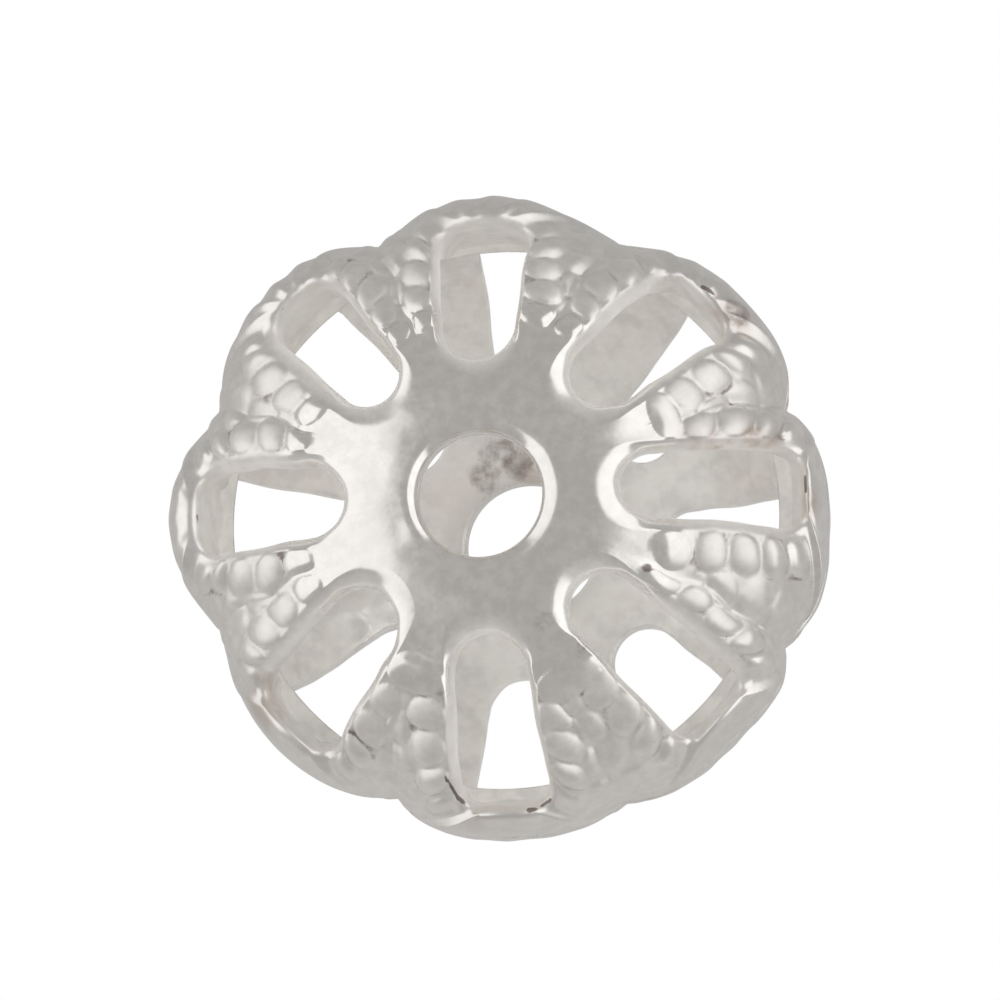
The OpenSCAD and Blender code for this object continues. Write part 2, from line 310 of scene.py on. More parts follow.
# The floor glows, though it is no lamp: white to the eye and to matte surfaces, and a gray glow where the
# silver mirrors it, a painted reflection of a floor. That gray glow is lighter in front of the bead than
# behind it, a painted pool of light, changing within BESIDE of its middle, and comes to the room's own
# gray from GRAY_FROM to GRAY_TO away, all in metres
FLOOR = 0.6
MIRRORED_FLOOR_GLOW = (0.50, 0.492, 0.481, 1)
NEAR_LIGHT, BEHIND_LIGHT, ROOM_LIGHT = 1.18, 0.88, 0.89
BESIDE = 0.012
GRAY_FROM, GRAY_TO = 0.008, 0.06
# The room's gray, and how much stronger it lights the matte surfaces
ROOM_GRAY, ROOM_GAIN = (0.446, 0.438, 0.428, 1), 2.5
# Light panels: azimuth, width in metres, angle of the top edge seen from the bead's foot, brightness
PANEL_AWAY = 0.12
PANELS = {
    "panel_right": (8, 0.22, 66, 0.545),
    "panel_left": (175, 0.19, 70, 0.48),
}

# The camera leans from straight above toward this direction, and sees the bead's middle at MIDDLE_PX
CAMERA_LEAN, CAMERA_TOWARD = 11.8, (0.677, -0.736)
CAMERA_AWAY_MM = 190
PX_PER_MM = 65.2
MIDDLE_PX = (504.8, 521.3)
IMAGE_PX = 1000
SENSOR = 36

# Size of the noise's lattice, a shift that keeps its indices above 0, and the shift for each shell
LATTICE = 32
NOISE_ORIGIN = 100
SHELL_SHIFT = 31.7


def mix(a, b, t):
    return a + (b - a) * t


def rise(value, start, over):
    """Smoothly from 0 to 1 while the value goes from start to start + over."""
    t = np.clip((value - start) / over, 0, 1)
    return t * t * (3 - 2 * t)


def radius_of(p):
    return np.hypot(p[..., 0], p[..., 1])


lattice = np.random.RandomState(7).uniform(-1, 1, (LATTICE, LATTICE, LATTICE))


def noise(p, size, shift=0):
    """Smooth value noise of about -1 to 1 at points p, in mm, with bumps of that size."""
    q = p / size + shift + NOISE_ORIGIN
    cell = np.floor(q).astype(int)
    f = q - cell
    f = f * f * f * (f * (6 * f - 15) + 10)
    total = 0
    for corner in np.ndindex(2, 2, 2):
        weight = np.prod(np.where(corner, f, 1 - f), axis=-1)
        at = (cell + corner) % LATTICE
        total = total + weight * lattice[at[..., 0], at[..., 1], at[..., 2]]
    return total


class HalfPetal:
    """Half of one petal, on one side of its slot. The shell is 0 for the upper and 1 for the lower one."""

    def __init__(self, shell, petal, side):
        row, work = PETALS[petal], WORK[petal]
        pair = 0 if side > 0 else 1
        self.shell, self.petal, self.side = shell, petal, side
        self.arm = petal if side > 0 else (petal - 1) % 8
        self.hub_r, self.half_h = HUB_D / 2, BEAD_H / 2
        self.middle = BEAD_D / 2 + row[REACH]
        self.valley = BEAD_D / 2 - PETAL_DEPTH + PETALS[self.arm][VALLEY_REACH]
        self.full = work[FULLNESS][pair]
        self.foot, self.ledge = work[FOOT], work[LEDGE]
        self.valley_ledge = (work[LEDGE] + WORK[(petal + side) % 8][LEDGE]) / 2
        self.joined = self.arm in JOINED and not shell
        self.crease_from = JOINED_CREASE_FROM if self.joined else CREASE_FROM
        if shell:
            self.slot_out, self.slot_corner = SLOT_OUT_R, LOWER_SLOT_CORNER
            self.strip, self.crest_power, self.rim_roll = LOWER_STRIP, LOWER_CREST_POWER, LOWER_RIM_ROLL
            self.scallop, self.last_grain = LOWER_RIM_GRAIN_H, LOWER_RIM_GRAIN_H
            self.grain_turns = GRAIN_TURNS[(self.arm + LOWER_GRAINS_FROM) % 8]
        else:
            self.slot_out, self.slot_corner = work[RIM_IN], SLOT_CORNER
            self.strip = work[STRIP][pair]
            self.crest_power, self.rim_roll = CREST_POWER[petal], RIM_ROLL[petal]
            self.scallop, self.last_grain = SCALLOP[petal], work[LAST_GRAIN][pair]
            self.grain_turns = GRAIN_TURNS[self.arm]
        self.set_slot(*row[SLOTS + shell])
        pick = np.random.RandomState(100 * shell + 10 * petal + (side > 0))
        self.draws = pick.uniform(-1, 1, (GRAINS, DRAWS))
        # the grain in the middle of the rim is even
        self.draws[MIDDLE_GRAIN] = 0

    def set_slot(self, turn, width, inner):
        self.turn = self.side * turn
        self.half_in = SLOT_W_IN / 2 * width
        self.half_out = SLOT_W_OUT / 2 * width
        self.inner_x = SLOT_IN + inner + self.half_in
        self.corner_y = self.half_out - self.slot_corner
        self.corner_x = math.sqrt((self.slot_out - self.slot_corner) ** 2 - self.corner_y ** 2)

    def outline(self, a, t=90.0):
        # near the hub the petals run into one another without a crease
        u = a / HALF
        share = mix((1 - np.cos(np.pi * u)) / 2, u * u, rise(t, self.crease_from, CREASE_OVER))
        fullness = self.full * FULL_SCALE * u * np.sin(np.pi * u) * rise(t, *FULL_RISE)
        return mix(self.middle, self.valley, share) + fullness

    def dome(self, a, t):
        """Radius and height of the dome at the petal's own angle a and the dome's turn t."""
        r = self.hub_r + (self.outline(a, t) - self.hub_r) * np.sin(np.radians(t))
        return r, self.half_h * np.maximum(0, np.cos(np.radians(t))) ** DOME_POWER

    def normal(self, a, t):
        slope = np.maximum(1e-6, np.cos(np.radians(t)))
        run = (self.outline(a, t) - self.hub_r) * slope
        fall = self.half_h * DOME_POWER * slope ** (DOME_POWER - 1) * np.sin(np.radians(t))
        n = np.hypot(run, fall)
        return fall / n, run / n

    def over(self, x, y):
        """Angle and turn of the dome's point over x, y."""
        a = np.degrees(np.arctan2(y, x))
        t = 45.0
        for _ in range(ROUNDS):
            share = (np.hypot(x, y) - self.hub_r) / (self.outline(a, t) - self.hub_r)
            t = np.degrees(np.arcsin(np.clip(share, 0, 1)))
        return a, t

    def line(self, s):
        """The middle of the arm, then the girdle back to the middle of the rim."""
        back = HALF * (MIDDLE - s) / (MIDDLE - VALLEY)
        a = np.where(s <= HUB_END, HALF * s / HUB_END, np.where(s <= VALLEY, HALF, back))
        starts = [SMOOTH_END + GRAIN_STEP * i for i in range(ARM_GRAINS + 1)]
        turns = [0, 0] + self.grain_turns + [90, 90]
        return a, np.interp(s, [0, HUB_END] + starts + [VALLEY, MIDDLE], turns)

    def edge(self, s):
        """The slot's edge as x and y along the petal's axis: round end, side, corner and rim."""
        turn = np.radians(180 - 90 * s / SMOOTH_END)
        round_end = self.inner_x + self.half_in * np.cos(turn), self.half_in * np.sin(turn)
        first, last = (self.dome(*self.line(np.array(q)))[0] for q in (SMOOTH_END, ARM_END))
        share = (self.dome(*self.line(s))[0] - first) / (last - first)
        r = mix(math.hypot(self.inner_x, self.half_in), math.hypot(self.corner_x, self.half_out), share)
        y = mix(self.half_in, self.half_out, (r - self.inner_x) / (self.corner_x - self.inner_x))
        run = np.sqrt(np.maximum(0, r * r - y * y)), y
        share = (s - ARM_END) / (MIDDLE - ARM_END)
        end_angle = math.degrees(math.atan2(self.corner_y, self.corner_x))
        turn = np.radians(mix(90, end_angle, share / CORNER_SHARE))
        corner_x = self.corner_x + self.slot_corner * np.cos(turn)
        corner_y = self.corner_y + self.slot_corner * np.sin(turn)
        turn = np.radians(end_angle * (1 - share) / (1 - CORNER_SHARE))
        rim = self.slot_out * np.cos(turn), self.slot_out * np.sin(turn)
        pieces = zip(round_end, run, (corner_x, corner_y), rim)
        where = [s <= SMOOTH_END, s <= ARM_END, share < CORNER_SHARE]
        return tuple(np.select(where, piece[:3], piece[3]) for piece in pieces)

    def bearing(self, a, r, turn=0):
        """Azimuth in radians of the petal's own angle a, with the valleys turned off their even places."""
        share = np.clip(a / HALF, 0, 1) ** 2
        a = a + turn
        off = VALLEY_TURN[self.arm] * rise(r, *VALLEY_RISE)
        swing = np.sin(np.pi * (r - ZIGZAG_FROM) / ZIGZAG_STEP + ZIGZAG_PHASE * self.arm)
        zigzag = np.degrees(ZIGZAG / np.maximum(r, 1)) * swing
        zigzag = zigzag * rise(r, ZIGZAG_FROM, ZIGZAG_IN) * (1 - rise(r, ZIGZAG_TO, ZIGZAG_OUT))
        return np.radians(2 * HALF * self.petal + self.side * a + share * (off + zigzag))

    def space(self, a, r, z, turn=0):
        az = self.bearing(a, r, turn)
        return np.stack([r * np.cos(az), r * np.sin(az), z + 0 * r], -1)

    def outward(self, a, t, turn=0):
        a_in = np.clip(a, -HALF, HALF)
        az = self.bearing(a, self.dome(a_in, t)[0], turn)
        nr, nz = self.normal(a_in, t)
        return np.stack([nr * np.cos(az), nr * np.sin(az), nz], -1)


marks = [0, HUB_END, SMOOTH_END, ARM_END, MIDDLE]
runs = [np.linspace(a, b, n + 1)[:-1] for a, b, n in zip(marks, marks[1:], SAMPLES)]
STEPS = np.concatenate(runs + [[MIDDLE]])


def pitches(s, points):
    """Length of each grain along a row of points."""
    run = np.concatenate([[0], np.cumsum(np.linalg.norm(np.diff(points, axis=0), axis=1))])
    marks = np.interp(SMOOTH_END + GRAIN_STEP * np.arange(GRAINS), s, run)
    marks[-1] = 2 * run[-1] - marks[-2]
    return np.diff(marks)


def bump(x, y):
    """A rounded bump of height 1, which ends where x or y is 1 away from its middle."""
    inner = np.maximum(0, 1 - np.abs(x) ** GRAIN_POWER - np.abs(y) ** GRAIN_POWER)
    return inner ** GRAIN_DOME * rise(inner, 0, GRAIN_FOOT)


class Grains:
    """The grains on one half petal, at steps s and distances mm from the slot's edge. They are given the
    border's width, the points' radius, and the arm's and the border's own middle line."""

    def __init__(self, half, s, mm, width, radius, line, middle):
        self.half, self.s, self.mm, self.width, self.radius = half, s[:, None], mm, width[:, None], radius
        first_ends = [SMOOTH_END, SMOOTH_END + GRAIN_STEP]
        self.line_r = np.interp(first_ends, s, radius_of(line))
        phase = (s - SMOOTH_END) / GRAIN_STEP
        number = np.clip(np.floor(phase), 0, MIDDLE_GRAIN).astype(int)
        pitch = np.where(number < ARM_GRAINS, pitches(s, line)[number], pitches(s, middle)[number])
        self.phase, self.number, self.pitch = phase[:, None], number[:, None], pitch[:, None]
        draws = [half.draws[number, i][:, None] for i in range(DRAWS)]
        # each grain has its own ends, lean and height
        self.near = np.minimum(half.strip, STRIP_SHARE * self.width) + NEAR_SPREAD * (1 + draws[NEAR_DRAW])
        far = np.minimum(self.width, self.near + GRAIN_WIDE) - FAR_GAP
        self.far = far - FAR_SPREAD * (1 + draws[FAR_DRAW])
        self.own_height = 1 + HEIGHT_SPREAD * draws[HEIGHT_DRAW]
        x = (2 * (self.phase - self.number) - 1) * self.pitch / 2
        from_middle = mm - (self.near + self.far) / 2
        self.x = x + LEAN * draws[LEAN_DRAW] * from_middle * (1 - (2 * x / self.pitch) ** 2)
        self.across = from_middle / (self.far - self.near) * 2
        self.zone = rise(self.s, *GRAINS_RISE)
        self.on_rim = rise(self.s, *RIM_GRAINS_RISE)
        self.to_line = rise(self.width - self.mm, 0, LINE_OVER)
        self.first = (self.phase < 0.5) & (not half.joined)

    def row(self):
        """The row of grains beside the slot."""
        egg = bump(self.x / (GRAIN_LONG / 2 * self.pitch), self.across) * self.zone
        # the hub runs softly into the first grain, up to its middle
        start = rise(self.s, FIRST_FROM, SMOOTH_END + GRAIN_STEP / 2 - FIRST_FROM)
        from_hub = bump(0 * self.x, self.across) * start
        egg = np.where(self.first, mix(egg, from_hub, FIRST_SOFT), egg)
        outer = 1 + OUTER_HIGHER * rise(self.s, *OUTER_RISE)
        return egg * self.to_line * self.own_height * outer

    def fill(self):
        """Toward the rim, smaller grains fill the valley between the two rows."""
        near = np.minimum(self.far - FILL_OVERLAP, self.width - FILL_WIDE)
        x = 2 * (self.phase + 0.5 - np.floor(self.phase + 0.5)) - 1
        egg = bump(x / GRAIN_LONG, (self.width - self.mm) / (self.width - near))
        start = rise(self.s, *FILL_RISE)
        return FILL_SHARE * egg * (start * (self.s < FILL_END))

    def joined_pair(self):
        """An arm's first pair of grains as one, bent toward the hub at its ends."""
        y = (self.width - self.mm) / (self.width - self.near)
        bent = self.radius + JOINED_BEND * np.clip(y, 0, 1.2) ** 2
        # -1 at the pair's end by the hub and 1 at its outer end
        outward = (bent - self.line_r.mean()) / (self.line_r[1] - self.line_r[0]) * 2
        height = mix(JOINED[self.half.arm], JOINED_SHARE, rise(outward, -1, JOINED_OVER))
        return height * bump(outward, y) * rise(self.s, HUB_END, 1)

    def rim(self):
        """The scallops along the rim, and the grain at its corner."""
        height = np.where(self.number == CORNER_GRAIN, self.half.last_grain, self.half.scallop)
        along = np.cos(np.pi * np.clip(self.x / self.pitch, -0.5, 0.5)) ** 2
        return height * along * np.sin(np.pi * np.clip(self.mm / self.width, 0, 1)) ** 2 * self.own_height

    def relief(self):
        """Height of the grains, and how far each point lies in a crease between them."""
        egg = np.maximum(self.row(), self.fill())
        if self.half.joined:
            pair = self.joined_pair()
            egg = np.where(self.s < SMOOTH_END + GRAIN_STEP, pair, np.maximum(egg, pair))
        beyond = rise(self.mm - self.far, *BEYOND_RISE) * self.to_line
        crease = self.zone * np.where(self.first, FIRST_CREASE, 1) * np.clip(1 - egg, 0, 1) ** 3
        return mix(GRAIN_H * egg, self.rim(), self.on_rim), crease * (1 - self.on_rim) * (1 - beyond)


def corner_columns(a, tip, b, count):
    """Columns on the curves that leave from a toward tip and end at b."""
    v = np.linspace(0, 1, count + 2)[1:-1][None, :, None]
    return a[:, None] * (1 - v) ** 2 + 2 * v * (1 - v) * tip[:, None] + b[:, None] * v ** 2


class Border:
    """The sheet beside one side of a slot, out to the middle of the arm and to the girdle. Its rows are
    the STEPS. Its columns run along the underside to the slot, up the wall and back over the top."""

    def __init__(self, half):
        s = STEPS
        self.half = half
        self.ex, self.ey = half.edge(s)
        self.ea, self.et = half.over(self.ex, self.ey)
        self.la, self.lt = half.line(s)
        self.on_arm, self.on_rim = rise(s, *ARM_RISE), rise(s, *CREST_RISE)
        self.rim_z = half.dome(0.0, half.over(half.slot_out - CREST_IN, 0.0)[1])[1] - CREST_UNDER
        self.edge_top, self.line_top = self.top_at(0.0)[:, 0], self.top_at(1.0)[:, 0]
        self.width = np.linalg.norm(self.edge_top - self.line_top, axis=-1)
        arm = np.minimum(ARM_ROLL_SHARE * self.width, half.strip + ARM_ROLL_EXTRA)
        self.roll_out = mix(mix(HUB_ROLL, arm, self.on_arm), half.rim_roll, self.on_rim)
        self.roll_down = mix(mix(HUB_ROLL_DOWN, ARM_ROLL_DOWN, self.on_arm), RIM_ROLL_DOWN, self.on_rim)
        bevel = (self.on_arm * (1 - self.on_rim))[:, None]
        self.out_power = mix(ROUND_POWER, BEVEL_OUT_POWER, bevel)
        self.down_power = mix(ROUND_POWER, BEVEL_DOWN_POWER, bevel)
        self.fillet = np.linspace(0, 1, TOP_FILLET + 2)[1:-1]

    def top(self, t):
        """Points of the plain top at the share t from the slot's edge, and the direction outward there."""
        half = self.half
        a, turn = mix(self.ea[:, None], self.la[:, None], t), mix(self.et[:, None], self.lt[:, None], t)
        slot_turn = half.turn * (1 - t)
        a_in = np.clip(a, -HALF, HALF)
        r, z = half.dome(a_in, turn)
        points, up = half.space(a, r, z, slot_turn), half.outward(a, turn, slot_turn)
        # on the rim, a rounded crest from the slot's edge to the girdle
        power = half.crest_power
        across, height = (np.maximum(0, f(np.pi / 2 * t)) ** (2 / power) for f in (np.sin, np.cos))
        start = np.hypot(self.ex, self.ey)[:, None]
        span = half.outline(a_in) - start
        crest_r = start + span * across
        crest_z = self.rim_z - CREST_SINK * (a_in / CREST_SINK_AT) ** 2
        nr, nz = across ** (power - 1) / span, height ** (power - 1) / crest_z
        az, n = half.bearing(a, crest_r, slot_turn), np.hypot(nr, nz)
        crest = half.space(a, crest_r, crest_z * height, slot_turn)
        crest_up = np.stack([nr / n * np.cos(az), nr / n * np.sin(az), nz / n], -1)
        share = self.on_rim[:, None, None]
        return mix(points, crest, share), mix(up, crest_up, share)

    def top_at(self, share):
        return self.top(np.full((len(STEPS), 1), share))[0]

    def groove(self, t):
        """Depth of the groove between the two rows of grains."""
        start = SMOOTH_END + (GRAIN_STEP if self.half.joined else 0)
        share = np.clip((STEPS - start) / (VALLEY - start), 0, 1)
        along = np.sqrt(np.sin(np.pi * share)) * rise(share, 0, GROOVE_START)
        return GROOVE * along[:, None] * rise(t, GROOVE_FROM, 1 - GROOVE_FROM)

    def dressed_top(self):
        """The top with its grains, the lift of the rolled edge's columns, and how deep in a crease."""
        u = np.linspace(0, 1, TOP + 1)
        spread = EVEN_COLUMNS * u + (1 - EVEN_COLUMNS) * (1 - np.cos(np.pi * u)) / 2
        first = np.minimum(ROLL_MOST, self.roll_out / self.width)[:, None]
        t = first + (1 - first) * spread
        points, up = self.top(t)
        points_r = radius_of(points)
        edge_r = radius_of(self.edge_top)[:, None]
        rolled = self.roll_out[:, None] * self.fillet ** self.out_power
        mm = np.concatenate([rolled, t * self.width[:, None]], 1)
        radius = np.concatenate([mix(edge_r, points_r[:, :1], self.fillet ** 2), points_r], 1)
        middle = self.top_at(ROW_MIDDLE)[:, 0]
        lift, crease = Grains(self.half, STEPS, mm, self.width, radius, self.line_top, middle).relief()
        self.start, self.start_up = points[:, 0], up[:, 0]
        points = points + up * (lift[:, TOP_FILLET:] - self.groove(t))[..., None]
        return points, lift[:, :TOP_FILLET], crease

    def wall_low_edge(self):
        """The foot of the slot's wall. On the rim the wall slants in to the ledge."""
        half = self.half
        depth = np.minimum(SHEET / half.normal(self.ea, self.et)[1], self.edge_top[:, 2] - LOWEST_EDGE)
        low = self.edge_top - depth[:, None] * (0, 0, 1)
        foot_r = np.minimum(np.hypot(self.ex, self.ey) - FOOT_IN, half.foot)
        edge_r = radius_of(self.edge_top)
        foot = self.edge_top * (1, 1, 0) * (foot_r / edge_r)[:, None]
        foot[:, 2] = FOOT_H
        return mix(low, foot, rise(STEPS, *FOOT_RISE)[:, None])

    def underside(self, edge_low):
        """The underside, which follows the top along the arm and is the flat ledge on the rim."""
        half, width = self.half, self.width[:, None]
        line_n = half.outward(self.la[:, None], self.lt[:, None])
        ledge = mix(half.ledge, half.valley_ledge, rise(self.la, HALF / 2, HALF / 2))
        depth = mix(SHEET, half.outline(self.la) - ledge, (self.lt / 90) ** 6)
        line_low = self.line_top - depth[:, None] * line_n[:, 0]
        bend = 1 - rise(STEPS, *STRAIGHT_RISE)
        t = np.linspace(1, 0, UNDER + 1)[None, :] * (1 - LOW_CORNER / width) + LOW_CORNER / width
        straight = self.edge_top[:, None] + (self.line_top - self.edge_top)[:, None] * t[..., None]
        bulge = (self.top(t)[0] - straight) * bend[:, None, None]
        return edge_low[:, None] + (line_low - edge_low)[:, None] * t[..., None] + bulge

    def grid(self):
        """The border's points, and for each one how much it is inside the bead and in a crease."""
        points, lift, crease = self.dressed_top()
        edge_low = self.wall_low_edge()
        under = self.underside(edge_low)
        wall_dir = edge_low - self.edge_top
        wall_len = np.linalg.norm(wall_dir, axis=1)
        wall_dir = wall_dir / wall_len[:, None]
        roll = np.minimum(self.roll_down, wall_len * ROLL_DOWN_MOST)
        corner = np.minimum(LOW_CORNER, wall_len * LOW_CORNER_MOST)
        wall_top = self.edge_top + wall_dir * roll[:, None]
        wall_low = edge_low - wall_dir * corner[:, None]
        low = corner_columns(under[:, -1], edge_low, wall_low, LOW_FILLET)
        wall = wall_low[:, None] + (wall_top - wall_low)[:, None] * np.linspace(0, 1, WALL)[None, :, None]
        out, down = self.fillet ** self.out_power, (1 - self.fillet) ** self.down_power
        edge = self.edge_top[:, None]
        high = edge + (self.start[:, None] - edge) * out[..., None]
        high = high + (wall_top[:, None] - edge) * down[..., None]
        high = high + self.start_up[:, None] * lift[..., None]
        return np.concatenate([under, low, wall, high, points], 1), self.inside(), self.creases(crease)

    def inside(self):
        below = [np.ones(UNDER + 1 + LOW_FILLET), np.full(WALL, WALL_INSIDE)]
        above = [np.linspace(ROLL_INSIDE, 0, TOP_FILLET), np.zeros(TOP + 1)]
        return np.tile(np.concatenate(below + above), (len(STEPS), 1))

    def creases(self, crease):
        below = UNDER + 1 + LOW_FILLET + WALL
        creases = np.concatenate([np.zeros((len(STEPS), below)), crease], 1)
        creases[:, below:below + TOP_FILLET] *= 0.5
        # dark lines at both ends of the rim's inner wall
        recess = rise(STEPS, *RECESS_RISE)[:, None]
        foot, top = slice(UNDER, UNDER + 3), slice(below - 1, below + 3)
        for at, dark in ((foot, FOOT_LINE), (top, TOP_LINE)):
            creases[:, at] = np.maximum(creases[:, at], dark * recess)
        return creases


def hub_disc(half):
    """A sector of the hub from its ring to the thread hole and back, and how much is inside."""
    a = half.line(STEPS[:SAMPLES[0] + 1])[0]
    hole, hub, top_z, low_z = HOLE_D / 2, HUB_D / 2, BEAD_H / 2, BEAD_H / 2 - SHEET
    lip_z = top_z - LIP_DOWN
    turn = np.radians(np.linspace(0, 90, LIP_RINGS + 1))
    rings = [(mix(hub, hole + LIP_OUT, v), top_z) for v in np.linspace(0, 1, FACE_RINGS + 1)[:-1]]
    rings += [(hole + LIP_OUT * (1 - math.sin(v)), top_z - LIP_DOWN * (1 - math.cos(v))) for v in turn]
    rings += [(hole, mix(lip_z, low_z + BORE_BREAK, v)) for v in (0.5, 1)]
    rings += [(hole + BORE_BREAK / 3, low_z + BORE_BREAK / 3), (hole + BORE_BREAK, low_z)]
    rings += [(mix(hole + BORE_BREAK, hub, v), low_z) for v in np.linspace(0, 1, UNDER_RINGS + 1)[1:]]
    r, z = np.array(rings).T
    az = half.bearing(a, hub)
    toward = [0.5 + 0.5 * np.cos(az - math.radians(at)) for at in (LIP_WIDE_AT, HOLE_WEAR_AT)]
    lips = LIP_OUT * mix(LIP_NARROW, 1, toward[0])
    worn = half.shell * HOLE_WEAR * toward[1] ** 2
    on_face = z > lip_z - 1e-6
    even = [hole, hole + LIP_OUT, hub]
    r = np.array([np.where(on_face, np.interp(r, even, [hole, hole + lip, hub]), r) for lip in lips])
    r = r + worn[:, None] * (hub - r) / (hub - hole)
    outside = FACE_RINGS + LIP_RINGS
    inside = np.concatenate([np.zeros(outside), np.linspace(LIP_INSIDE, 1, len(z) - outside)])
    return half.space(a[:, None], r, z[None, :] + 0 * a[:, None]), inside


class Patches:
    """Grids of points, collected as one list of points and quads, with two values for each point."""

    def __init__(self):
        self.patches, self.count = [], 0

    def add(self, grid, inside, creases, side):
        shape = grid.shape[:2]
        i = self.count + np.arange(shape[0] * shape[1]).reshape(shape)
        quads = np.stack([i[:-1, :-1], i[:-1, 1:], i[1:, 1:], i[1:, :-1]], -1).reshape(-1, 4)
        quads = quads if side > 0 else quads[:, ::-1]
        values = [np.broadcast_to(v, shape).reshape(-1) for v in (inside, creases)]
        self.patches.append((grid.reshape(-1, 3), quads, *values))
        self.count += i.size

    def joined(self):
        return [np.concatenate(parts) for parts in zip(*self.patches)]


def shell_patches(shell):
    """Points, quads and values of one shell, still unwelded, standing on the plane z = 0."""
    patches = Patches()
    on_girdle = STEPS >= VALLEY - 1e-9
    for petal in range(8):
        for side in (1, -1):
            half = HalfPetal(shell, petal, side)
            grid, inside, creases = Border(half).grid()
            patches.add(grid, inside, creases, side)
            girdle_face = np.stack([grid[on_girdle, -1], grid[on_girdle, 0]], 1)
            patches.add(girdle_face, 1.0, 1.0, side)
            disc, inside = hub_disc(half)
            patches.add(disc, inside, 0.0, side)
    return patches.joined()


def by_petal(values, p):
    petal = np.degrees(np.arctan2(p[:, 1], p[:, 0])) / 45 % 8
    return np.interp(petal, np.arange(9), values + values[:1])


def dome_fall(r):
    """How far the slightly domed hub and the dome beyond it lie below the plain ones at radius r."""
    rs = np.linspace(0, FALL_END, FALL_SAMPLES)
    slope = np.interp(rs, [0, HUB_STEEP_R, HUB_SLOPE_END], [0, HUB_SLOPE, 0])
    slope = slope - DOME_SLOPE * np.sin(np.pi * np.clip((rs - HUB_SLOPE_END) / DOME_RUN, 0, 1))
    fall = np.concatenate([[0], np.cumsum((slope[1:] + slope[:-1]) / 2 * np.diff(rs))])
    return np.interp(r, rs, fall)


def finish_points(shell, p, inside):
    """Hand work on the whole shell: a slight dome, waves, dents and the girdle's rounded corners."""
    r = radius_of(p)
    p = p.copy()
    p[:, 2] -= dome_fall(r) * rise(p[:, 2], 0, FALL_OVER)
    shift = SHELL_SHIFT * (shell + 1)
    out = p / np.array(AXES) ** 2
    out /= np.linalg.norm(out, axis=1)[:, None]
    wave = sum(height * noise(p, size, shift) for height, size in WAVES)
    dents = sum(height * noise(p, size, shift + DENTS_SHIFT * i) for i, (height, size) in enumerate(DENTS))
    hammer = inside * by_petal(HAMMER, p) * rise(r, HUB_D / 2, DENTS_OVER) * dents
    p += out * ((wave - hammer) * rise(p[:, 2], 0, WAVES_OVER))[:, None]
    from_girdle = np.clip((GIRDLE_ROUND - p[:, 2]) / GIRDLE_ROUND, 0, 1)
    inset = GIRDLE_ROUND * (1 - np.sqrt(1 - from_girdle ** 2))
    p[:, :2] *= (1 - np.where(r > GIRDLE_R, GIRDLE_SHARE * inset, 0) / np.maximum(r, 1e-6))[:, None]
    return p


def closeness(distance, size):
    """1 up to half a size away, and 0 from one and a half sizes on."""
    return 1 - rise(distance / size, 0.5, 1)


def cracks(p):
    total = np.zeros(len(p))
    for x0, y0, x1, y1, size, height in CRACKS:
        run = np.array([x1 - x0, y1 - y0])
        from_start = p[:, :2] - (x0, y0)
        share = np.clip(from_start @ run / (run @ run), 0, 1)
        distance = np.linalg.norm(from_start - share[:, None] * run, axis=1)
        above = rise(p[:, 2], height, CRACK_FADE)
        total = np.maximum(total, CRACK_STRENGTH * closeness(distance, size) * above)
    return total


def spots(places, p):
    total = np.zeros(len(p))
    for x, y, z, size, strength in places:
        distance = np.linalg.norm(p - (x, y, z), axis=1)
        total = np.maximum(total, strength * closeness(distance, size))
    return total


def surface_values(shell, p, inside, creases):
    """The named values at each point that the material reads."""
    r = radius_of(p)
    tarnish = spots(TARNISH[shell], p)
    return {
        "inside": inside,
        "crease": creases,
        "satin": rise(r, *SATIN_RISE) * (1 - RIM_SATIN_LESS * rise(r, *RIM_RISE)),
        "tarnish": tarnish if shell else np.maximum(tarnish, cracks(p)),
        "brown": spots(BROWN[shell], p),
        "polish": by_petal(POLISH, p) * inside * rise(r, *POLISH_RISE),
    }


def quad_mesh(name, p, quads):
    mesh = bpy.data.meshes.new(name)
    mesh.vertices.add(len(p))
    mesh.vertices.foreach_set("co", (p * MM).astype(np.float32).ravel())
    mesh.loops.add(quads.size)
    mesh.loops.foreach_set("vertex_index", quads.astype(np.int32).ravel())
    mesh.polygons.add(len(quads))
    mesh.polygons.foreach_set("loop_start", np.arange(0, quads.size, 4, dtype=np.int32))
    mesh.update(calc_edges=True)
    return mesh


def weld(mesh):
    bm = bmesh.new()
    bm.from_mesh(mesh)
    bmesh.ops.remove_doubles(bm, verts=bm.verts, dist=WELD)
    bmesh.ops.dissolve_degenerate(bm, edges=bm.edges, dist=SHORTEST)
    bmesh.ops.recalc_face_normals(bm, faces=bm.faces)
    bm.to_mesh(mesh)
    bm.free()
    mesh.polygons.foreach_set("use_smooth", np.ones(len(mesh.polygons), bool))


def add_object(name, data):
    o = bpy.data.objects.new(name, data)
    bpy.context.scene.collection.objects.link(o)
    return o


def make_shell(shell, name):
    p, quads, inside, creases = shell_patches(shell)
    p = finish_points(shell, p, inside)
    values = surface_values(shell, p, inside, creases)
    p[:, 2] = np.maximum(0, p[:, 2]) + GIRDLE_GAP / 2
    if shell:
        p[:, 2] *= -1
        quads = quads[:, ::-1]
    mesh = quad_mesh(name, p, quads)
    for label, data in values.items():
        mesh.attributes.new(label, "FLOAT", "POINT").data.foreach_set("value", data.astype(np.float32))
    weld(mesh)
    o = add_object(name, mesh)
    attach(o, "root")
    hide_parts(name.replace("_skin", ""))
    return o


